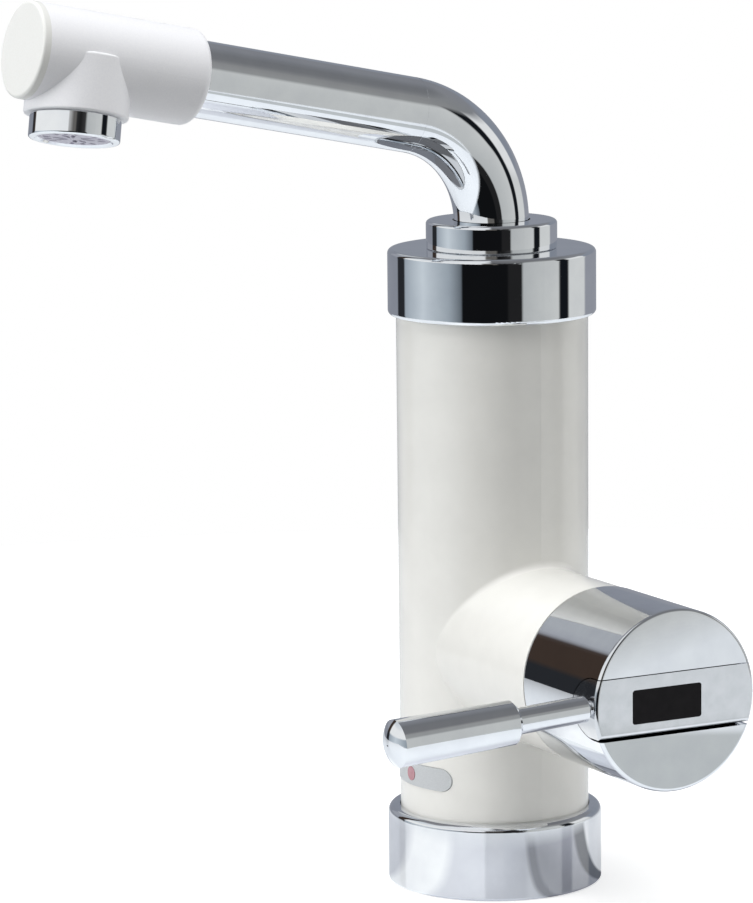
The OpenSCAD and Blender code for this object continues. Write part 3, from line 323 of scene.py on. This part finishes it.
# one finish for each material slot of the record: what it is, its two tones, the grain's size and
# height in mm, the range of roughness, and the shader's own settings
finishes = {
    "chrome": {  # chrome plate on polished brass: mirror bright, a trace of the polishing wheel
        "name": "chrome plate", "tones": ("#e9ebed", "#e3e5e8"), "grain": 9.0, "height": 0.0,
        "rough": (0.015, 0.045), "set": {"Metallic": 1.0}},
    "satin_chrome": {  # the bar's flat face, plated over a finer lap: its mirror is a little milky
        "name": "lapped chrome plate", "tones": ("#dcdddf", "#d6d8da"), "grain": 5.0,
        "height": 0.0, "rough": (0.07, 0.12), "set": {"Metallic": 1.0}},
    "white_shell": {  # injection-moulded ABS, polished mould: warm white, glossy, a faint ripple
        "name": "moulded ABS", "tones": ("#eae9e4", "#e6e5e0"), "grain": 14.0, "height": 0.002,
        "rough": (0.14, 0.18), "set": {"IOR": 1.53}},
    "white_nozzle": {  # heat-resistant polypropylene: cool white, waxy satin from a blasted mould
        "name": "moulded polypropylene", "tones": ("#f6f6f8", "#f2f2f5"), "grain": 0.5,
        "height": 0.006, "rough": (0.36, 0.46), "set": {"IOR": 1.49}},
    "end_cap": {  # the same plastic: a warmer white, made duller as painted shade against the key lamp that strikes the cap's face head-on
        "name": "moulded polypropylene cap", "tones": ("#e9e9e6", "#e6e6e2"), "grain": 0.5,
        "height": 0.006, "rough": (0.36, 0.46), "set": {"IOR": 1.49}},
    "grey_plate": {  # silver-grey printed film: fine metallic speckle under a matt lacquer
        "name": "printed polyester film", "tones": ("#c6c9cb", "#bbbec0"), "grain": 0.25,
        "height": 0.002, "rough": (0.4, 0.5), "set": {"IOR": 1.57}},
    "red_lens": {  # red polycarbonate light guide, unlit: a dull rose
        "name": "red polycarbonate", "tones": ("#b9888f", "#b07c84"), "grain": 1.5, "height": 0.0,
        "rough": (0.1, 0.2), "set": {"IOR": 1.585}},
    "black_window": {  # smoked acrylic over the display: nearly black, glossy
        "name": "smoked acrylic", "tones": ("#171416", "#120f11"), "grain": 3.0, "height": 0.0,
        "rough": (0.04, 0.09), "set": {"IOR": 1.49, "Specular IOR Level": 0.12}},
    "mesh_plastic": {  # acetal jet plate of the aerator: lilac-grey, matt
        "name": "moulded acetal jet plate", "tones": ("#d4d2df", "#cac7d6"), "grain": 0.6,
        "height": 0.01, "rough": (0.4, 0.55), "set": {"IOR": 1.48}},
    "board": {  # glass-fibre epoxy under green solder resist: the weave shows faintly
        "name": "glass-fibre circuit board", "tones": ("#1f5a36", "#17492b"), "grain": 0.8,
        "height": 0.01, "rough": (0.25, 0.4), "set": {"IOR": 1.55}},
    "white_nylon": {  # natural nylon housings: milky and satin
        "name": "natural nylon", "tones": ("#e4e2da", "#dad8cf"), "grain": 0.7, "height": 0.008,
        "rough": (0.4, 0.5), "set": {"IOR": 1.53}},
    "plated_steel": {  # bright zinc plate: bluish, with a fine crystal pattern
        "name": "zinc-plated steel", "tones": ("#b9bec6", "#a9adb4"), "grain": 0.8,
        "height": 0.004, "rough": (0.25, 0.4), "set": {"Metallic": 1.0}},
    "black_rubber": {  # moulded EPDM: soft black with a dusty bloom
        "name": "EPDM rubber", "tones": ("#1c1c1d", "#262627"), "grain": 0.6, "height": 0.02,
        "rough": (0.65, 0.8), "set": {"IOR": 1.5}},
    "brass": {  # turned brass: yellow, with a fine unevenness from the lathe
        "name": "turned brass", "tones": ("#d3b070", "#c8a463"), "grain": 0.9, "height": 0.0015,
        "rough": (0.18, 0.3), "set": {"Metallic": 1.0}},
    "black_nylon": {  # black nylon gland and cut-out, and the chip's moulding: satin
        "name": "black nylon", "tones": ("#1a1a1b", "#222223"), "grain": 0.5, "height": 0.01,
        "rough": (0.4, 0.5), "set": {"IOR": 1.53}},
    "grey_nylon": {  # glass-filled nylon cartridge: grey, mottled by short fibres at the skin
        "name": "glass-filled nylon", "tones": ("#6d7073", "#5c5f62"), "grain": 0.4,
        "height": 0.012, "rough": (0.4, 0.55), "set": {"IOR": 1.53}},
    "acetal": {  # turned acetal bush: ivory white and slippery
        "name": "turned acetal", "tones": ("#e6e1d3", "#dcd7c8"), "grain": 0.5, "height": 0.004,
        "rough": (0.3, 0.4), "set": {"IOR": 1.48}},
    "ceramic": {  # lapped alumina discs: cream, very flat and dense
        "name": "lapped alumina", "tones": ("#ece8de", "#e3dfd4"), "grain": 0.3, "height": 0.001,
        "rough": (0.12, 0.2), "set": {"IOR": 1.76}},
    "copper": {  # drawn copper tube: pink, with darker patches
        "name": "drawn copper", "tones": ("#d99a78", "#b97a58"), "grain": 2.0, "height": 0.004,
        "rough": (0.2, 0.35), "set": {"Metallic": 1.0}},
    "stainless": {  # deep-drawn stainless steel chamber: grey, a little uneven
        "name": "drawn stainless steel", "tones": ("#b4b5b6", "#a3a4a6"), "grain": 1.2,
        "height": 0.004, "rough": (0.22, 0.36), "set": {"Metallic": 1.0}},
    "element_sheath": {  # annealed sheath of the heating element: straw to blue-grey oxide
        "name": "annealed steel sheath", "tones": ("#6b625a", "#4d5058"), "grain": 4.0,
        "height": 0.004, "rough": (0.35, 0.5), "set": {"Metallic": 1.0}},
}
# the noise behind every grain, and the parts of its range over which tone and roughness change
grainNoise = {"Detail": 3.0, "Roughness": 0.55}
toneRange = (0.35, 0.65)
roughRange = (0.3, 0.7)
# nodes that differ from their slot's finish: the end cap, its white darkened as painted shade
ownFinish = {"nozzle_end_cap": "end_cap"}


def makeFinish(finish):
    material = bpy.data.materials.new(finish["name"])
    material.use_nodes = True
    tree = material.node_tree
    shader = tree.nodes["Principled BSDF"]
    for socket, value in finish["set"].items():
        shader.inputs[socket].default_value = value
    place = addNode(tree, "ShaderNodeTexCoord")
    grain = addNode(tree, "ShaderNodeTexNoise", {
        "Scale": 1 / (finish["grain"] * mm), "Vector": place.outputs["Object"], **grainNoise})
    tone = addNode(tree, "ShaderNodeValToRGB", {0: grain.outputs[0]})
    fillRamp(tone, [(at, hexColour(text)) for at, text in zip(toneRange, finish["tones"])])
    rough = addNode(tree, "ShaderNodeMapRange", {
        "From Min": roughRange[0], "From Max": roughRange[1],
        "To Min": finish["rough"][0], "To Max": finish["rough"][1], "Value": grain.outputs[0]})
    tree.links.new(tone.outputs[0], shader.inputs["Base Color"])
    tree.links.new(rough.outputs[0], shader.inputs["Roughness"])
    if finish["height"]:
        bump = addNode(tree, "ShaderNodeBump", {
            "Strength": 1.0, "Distance": finish["height"] * mm, "Height": grain.outputs[0]})
        tree.links.new(bump.outputs[0], shader.inputs["Normal"])
    return material


made = {slot: makeFinish(finish) for slot, finish in finishes.items()}
for part in frame["record"]["subparts"]:
    node = nodes[part["node"]]
    node.data.materials.clear()
    node.data.materials.append(made[ownFinish.get(part["node"], part["material_slot"])])
print("stage: finishes on the frame's nodes")

counts = ("vertices", "major_segments", "minor_segments")  # settings that aren't lengths
facing = 0.99  # a normal that points along an axis
touch = 0.01   # mm, a middle that lies on a plane
rimGap = 0.1   # mm, a middle that lies on a round rim, which is a chord


def take(piece):
    deselectAll()
    piece.select_set(True)
    bpy.context.view_layer.objects.active = piece
    return piece


# adds a primitive, its sizes in mm, with its place in its mesh
def startPiece(name, primitive, **settings):
    deselectAll()
    for key, value in settings.items():
        if key not in counts:
            isPlace = isinstance(value, tuple)
            settings[key] = [part * mm for part in value] if isPlace else value * mm
    primitive(**settings)
    piece = bpy.context.object
    piece.name = piece.data.name = name
    bpy.ops.object.transform_apply(location=True, rotation=True, scale=True)
    return piece


# selects faces, edges or vertices by a test of their middle, in mm, and their normal
def pick(piece, kind, test):
    take(piece)
    bpy.ops.object.mode_set(mode="EDIT")
    bpy.ops.mesh.select_mode(type=kind)
    bpy.ops.mesh.select_all(action="DESELECT")
    bpy.ops.object.mode_set(mode="OBJECT")
    data = piece.data
    items = {"FACE": data.polygons, "EDGE": data.edges, "VERT": data.vertices}[kind]
    for item in items:
        ids = [item.index] if kind == "VERT" else item.vertices
        middle = sum((data.vertices[i].co for i in ids), Vector()) / (len(ids) * mm)
        item.select = bool(test(middle, item.normal if kind == "FACE" else None))
    bpy.ops.object.mode_set(mode="EDIT")


# pushes the picked faces out by x, y, z in mm
def extrude(*by):
    bpy.ops.mesh.extrude_region_move(TRANSFORM_OT_translate={"value": [v * mm for v in by]})


def bevelEdges(piece, size, segments, test):
    pick(piece, "EDGE", test)
    bpy.ops.mesh.bevel(offset=size * mm, segments=segments)
    deselectAll()


def applyModifier(piece, kind, **settings):
    take(piece)
    modifier = piece.modifiers.new(kind.lower(), kind)
    for key, value in settings.items():
        setattr(modifier, key, value)
    bpy.ops.object.modifier_apply(modifier=modifier.name)


def combine(piece, tool, operation="DIFFERENCE"):
    applyModifier(piece, "BOOLEAN", object=tool, operation=operation, solver="EXACT")
    bpy.data.objects.remove(tool)


def joinAll(pieces):
    take(pieces[0])
    for piece in pieces[1:]:
        piece.select_set(True)
    bpy.ops.object.join()
    return pieces[0]


def twin(piece, turn):
    other = piece.copy()
    other.data = piece.data.copy()
    other.data.transform(turn)
    bpy.context.scene.collection.objects.link(other)
    return other


def about(axis, degrees):
    return Matrix.Rotation(math.radians(degrees), 4, axis)


def shift(*by):
    return Matrix.Translation([v * mm for v in by])


def stretch(*by):
    return Matrix.Diagonal((*by, 1))


# welds, turns the faces outwards, smooths, gives the piece its finish and body, and hides the CAD
# nodes it replaces
def finishPiece(piece, slot, body, replaces=(), smooth=32, weld=0.002):
    take(piece)
    bpy.ops.object.mode_set(mode="EDIT")
    bpy.ops.mesh.select_all(action="SELECT")
    bpy.ops.mesh.remove_doubles(threshold=weld * mm)
    bpy.ops.mesh.normals_make_consistent(inside=False)
    bpy.ops.object.mode_set(mode="OBJECT")
    bpy.ops.object.shade_smooth_by_angle(angle=math.radians(smooth))
    piece.data.materials.clear()
    piece.data.materials.append(made[slot])
    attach(piece, body)
    if replaces:
        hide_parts(*replaces)
    print("stage: piece", piece.name)


# each piece is made from its own dictionary d, with sizes in mm and angles in degrees

# the soft inside corner where the barrel leaves the column: the band that a rolling ball leaves
shellFillet = {
    "ball": 2.2, "barrelZ": 76.9, "barrelR": 27.5,
    "footR": 29.8, "footZ": 6, "taper": 0.3 / 184.7,  # the column's foot, and its growth upwards
    "around": 128, "across": 12,  # points round the barrel, and round the band's section
    "sunk": 0.5,  # how deep the band's back lies inside the walls
    "smooth": 60,
}


def makeShellFillet(d):
    # the torus only brings the faces: every point is set below
    piece = startPiece("shellFillet", bpy.ops.mesh.primitive_torus_add, major_radius=30,
                       minor_radius=2, major_segments=d["around"], minor_segments=d["across"])
    r, barrelR, across = d["ball"], d["barrelR"], d["across"]
    arc = across - 3  # the last three points close the back
    for i in range(d["around"]):
        t = 2 * math.pi * i / d["around"]
        y, z = (barrelR + r) * math.cos(t), (barrelR + r) * math.sin(t)
        columnR = d["footR"] + d["taper"] * (d["barrelZ"] + z - d["footZ"])
        centre = Vector((math.sqrt((columnR + r) ** 2 - y * y), y, z))
        toColumn = Vector((-centre.x, -y, 0)).normalized()
        toBarrel = Vector((0, -y, -z)).normalized()
        bend = toColumn.angle(toBarrel)
        for j in range(across):
            if j < arc:
                k = j / (arc - 1)
                way = math.sin((1 - k) * bend) * toColumn + math.sin(k * bend) * toBarrel
                spot = centre + r * (way / math.sin(bend))
            else:
                way = (toBarrel, (toColumn + toBarrel).normalized(), toColumn)[j - arc]
                reach = r + d["sunk"] if j != arc + 1 else r / math.cos(bend / 2) + d["sunk"]
                spot = centre + reach * way
            piece.data.vertices[i * across + j].co = (spot + Vector((0, 0, d["barrelZ"]))) * mm
    finishPiece(piece, "white_shell", "root", smooth=d["smooth"])


makeShellFillet(shellFillet)

# the aerator's jet plate: a cup whose face has petals round a cross, each with its jet; the same
# petals stand in all four quarters of the face
jetPlate = {
    # the outlet's own frame, whose Z runs down it from the arm's middle line: where that line
    # crosses the column's axis, its tilt and roll, and the outlet's place along it
    "outlet": {"armZ": 238.511, "armTilt": 78.5, "roll": 10.9, "along": 143.0},
    # the cup's top edge, the inside of its roof and its face along that Z, its wall and its rim
    "radius": 10.95, "top": 11.5, "roof": 21.1, "face": 24.1, "wall": 1.5, "rim": 0.4,
    "around": 72, "petalAround": 20, "jetAround": 12,  # points round each
    "depth": 1.1, "jet": 0.45, "jetLong": 8,  # how deep the petals are, and the jet's cutter
    "petals": [  # in one quarter: where they stand, how far out, and their half sizes
        {"angles": (30, 60), "reach": 4.3, "long": 2.1, "wide": 0.75},
        {"angles": (22.5, 45, 67.5), "reach": 8.3, "long": 1.35, "wide": 0.7},
    ],
}


def onOutlet(d):
    place = shift(0, 0, d["armZ"]) @ about("X", d["armTilt"])
    return place @ about("Z", d["roll"]) @ shift(0, 0, d["along"]) @ about("X", 90)


def makeJetPlate(d):
    piece = startPiece("jetPlate", bpy.ops.mesh.primitive_cylinder_add, vertices=d["around"],
                       radius=d["radius"], depth=d["face"] - d["top"],
                       location=(0, 0, (d["face"] + d["top"]) / 2))
    pick(piece, "FACE", lambda m, n: n.z < -facing)
    bpy.ops.mesh.inset(thickness=d["wall"] * mm)
    extrude(0, 0, d["roof"] - d["top"])
    bevelEdges(piece, d["rim"], segments=3, test=lambda m, n: m.z > d["face"] - touch
               and m.xy.length > d["radius"] - rimGap)
    tools = []
    for petals in d["petals"]:
        for angle in petals["angles"]:
            petal = startPiece("petal", bpy.ops.mesh.primitive_cylinder_add,
                               vertices=d["petalAround"], radius=1, depth=2 * d["depth"])
            pick(petal, "VERT", lambda m, n: True)
            bpy.ops.transform.resize(value=(petals["long"], petals["wide"], 1))
            jet = startPiece("jet", bpy.ops.mesh.primitive_cylinder_add,
                             vertices=d["jetAround"], radius=d["jet"], depth=d["jetLong"],
                             location=(petals["long"] / 2, 0, 0))
            combine(petal, jet, "UNION")
            petal.data.transform(about("Z", angle) @ shift(petals["reach"], 0, d["face"]))
            tools += [petal] + [twin(petal, about("Z", quarter)) for quarter in (90, 180, 270)]
    combine(piece, joinAll(tools))
    piece.data.transform(onOutlet(d["outlet"]))
    finishPiece(piece, "mesh_plastic", "spout", replaces=("aerator_insert",))


makeJetPlate(jetPlate)

# the shank with its threads cut: the clamping nut's and the water inlet's
threadedShank = {
    "runs": [  # lowest and highest turn, major radius, pitch and depth
        {"low": -43.5, "high": -1.0, "radius": 14.0, "pitch": 1.5, "depth": 0.92},
        {"low": -62.0, "high": -47.0, "radius": 10.48, "pitch": 1.814, "depth": 1.16},
    ],
    "root": 0.14, "mouth": 0.43,  # the groove's half widths, as shares of the pitch
    "proud": 0.6,  # how far the cutter stands out of the shank
    "steps": 48,  # in one turn
    "weld": 0.001,
}


def makeGroove(d, run):
    groove = startPiece("groove", bpy.ops.mesh.primitive_circle_add, vertices=4, radius=1)
    root, mouth = d["root"] * run["pitch"], d["mouth"] * run["pitch"]
    inner, outer = run["radius"] - run["depth"], run["radius"] + d["proud"]
    corners = [(inner, -root), (outer, -mouth), (outer, mouth), (inner, root)]
    for vertex, (x, z) in zip(groove.data.vertices, corners):
        vertex.co = (x * mm, 0, (z + run["low"]) * mm)
    applyModifier(groove, "SCREW", axis="Z", angle=2 * math.pi, screw_offset=run["pitch"] * mm,
                  iterations=round((run["high"] - run["low"]) / run["pitch"]),
                  steps=d["steps"], render_steps=d["steps"], use_smooth_shade=False)
    take(groove)
    bpy.ops.object.mode_set(mode="EDIT")
    bpy.ops.mesh.select_mode(type="EDGE")
    bpy.ops.mesh.select_all(action="DESELECT")
    bpy.ops.mesh.select_non_manifold()
    bpy.ops.mesh.edge_face_add()
    bpy.ops.mesh.select_all(action="SELECT")
    bpy.ops.mesh.normals_make_consistent(inside=False)
    return groove


def makeThreadedShank(d):
    piece = twin(nodes["inlet_shank"], Matrix())
    piece.name = piece.data.name = "threadedShank"
    take(piece)
    bpy.ops.object.mode_set(mode="EDIT")
    bpy.ops.mesh.select_all(action="SELECT")
    bpy.ops.mesh.remove_doubles(threshold=d["weld"] * mm)
    bpy.ops.object.mode_set(mode="OBJECT")
    for run in d["runs"]:
        combine(piece, makeGroove(d, run))
    finishPiece(piece, "brass", "root", replaces=("inlet_shank",))


makeThreadedShank(threadedShank)

# small parts on the control board's inner side: a timer chip, its legs and a capacitor's can
boardParts = {
    "boardY": 14.0, "clear": 0.35,  # the board's face, and the gap below the chip
    "chip": (1.2, 37.5), "body": (9.4, 3.2, 6.4),  # its middle in x and z, its size in z, y and x
    "bevel": 0.25, "notch": 0.8, "notchAround": 16,
    "legs": 4, "pitch": 2.2, "legWide": 0.6, "legThick": 0.25, "legOut": 1.1, "legIn": 0.1,
    "can": (2.0, 44.9), "canR": 2.2, "canLong": 5.8,  # its middle in x and z, radius and length
    "canEdge": 0.35, "canSunk": 0.2, "canAround": 32,
}


def makeChip(d):
    long, deep, wide = d["body"]
    x, z = d["chip"]
    top = d["boardY"] - d["clear"]
    chip = startPiece("boardChip", bpy.ops.mesh.primitive_cube_add, size=1)
    chip.data.transform(shift(x, top - deep / 2, z) @ stretch(wide, deep, long))
    bevelEdges(chip, d["bevel"], segments=2, test=lambda m, n: True)
    notch = startPiece("notch", bpy.ops.mesh.primitive_cylinder_add, vertices=d["notchAround"],
                       radius=d["notch"], depth=d["notch"])
    notch.data.transform(shift(x, top - deep, z + long / 2) @ about("X", 90))
    combine(chip, notch)
    return chip


def makeCan(d):
    can = startPiece("can", bpy.ops.mesh.primitive_cylinder_add, vertices=d["canAround"],
                     radius=d["canR"], depth=d["canLong"])
    bevelEdges(can, d["canEdge"], segments=3, test=lambda m, n: m.xy.length > d["canR"] - rimGap
               and abs(m.z) > d["canLong"] / 2 - touch)
    pick(can, "FACE", lambda m, n: n.z > facing)
    bpy.ops.mesh.inset(thickness=d["canEdge"] * mm)
    extrude(0, 0, -d["canSunk"])
    deselectAll()
    x, z = d["can"]
    can.data.transform(shift(x, d["boardY"] - d["canLong"] / 2, z) @ about("X", 90))
    return can


def makeLegs(d):
    _, deep, wide = d["body"]
    x, z = d["chip"]
    top = d["boardY"] - d["clear"]
    leg = startPiece("boardLegs", bpy.ops.mesh.primitive_cube_add, size=1)
    leg.data.transform(shift((wide + d["legOut"]) / 2, 0, 0)
                       @ stretch(d["legOut"], d["legThick"], d["legWide"]))
    pick(leg, "FACE", lambda m, n: n.x > facing)  # the shoulder, then the foot into the board
    extrude(d["legThick"], 0, 0)
    pick(leg, "FACE", lambda m, n: n.y > facing and m.x > wide / 2 + d["legOut"])
    extrude(0, deep / 2 + d["clear"] + d["legIn"], 0)
    deselectAll()
    side = joinAll([leg] + [twin(leg, shift(0, 0, i * d["pitch"])) for i in range(1, d["legs"])])
    both = joinAll([side, twin(side, stretch(-1, 1, 1))])
    low = z - (d["legs"] - 1) * d["pitch"] / 2
    both.data.transform(shift(x, top - deep / 2, low))
    return both


finishPiece(joinAll([makeChip(boardParts), makeCan(boardParts)]), "black_nylon", "root")
finishPiece(makeLegs(boardParts), "plated_steel", "root")

# cheese-head screws in the terminal block's three wells, each turned further than the last
terminalScrews = {
    "x": (-7, 0, 7), "y": 19.6, "z": 35.0, "radius": 1.75, "high": 1.3, "around": 32,
    "bevel": 0.2, "slot": (5, 0.5, 0.6),  # the slot's length, width and depth
    "turn": 25, "turnMore": 50,
}


def makeTerminalScrews(d):
    screw = startPiece("screw", bpy.ops.mesh.primitive_cylinder_add, vertices=d["around"],
                       radius=d["radius"], depth=d["high"])
    bevelEdges(screw, d["bevel"], segments=2, test=lambda m, n: m.z > d["high"] / 2 - touch)
    slotLong, slotWide, slotDeep = d["slot"]
    slot = startPiece("slot", bpy.ops.mesh.primitive_cube_add, size=1)
    slot.data.transform(shift(0, 0, d["high"] / 2) @ stretch(slotLong, slotWide, 2 * slotDeep))
    combine(screw, slot)
    screws = []
    for i, x in enumerate(d["x"]):
        place = shift(x, d["y"] + d["high"] / 2, d["z"])
        spin = about("Z", d["turn"] + d["turnMore"] * i)
        screws.append(twin(screw, place @ about("X", -90) @ spin))
    bpy.data.objects.remove(screw)
    piece = joinAll(screws)
    piece.name = piece.data.name = "terminalScrews"
    finishPiece(piece, "plated_steel", "root")


makeTerminalScrews(terminalScrews)
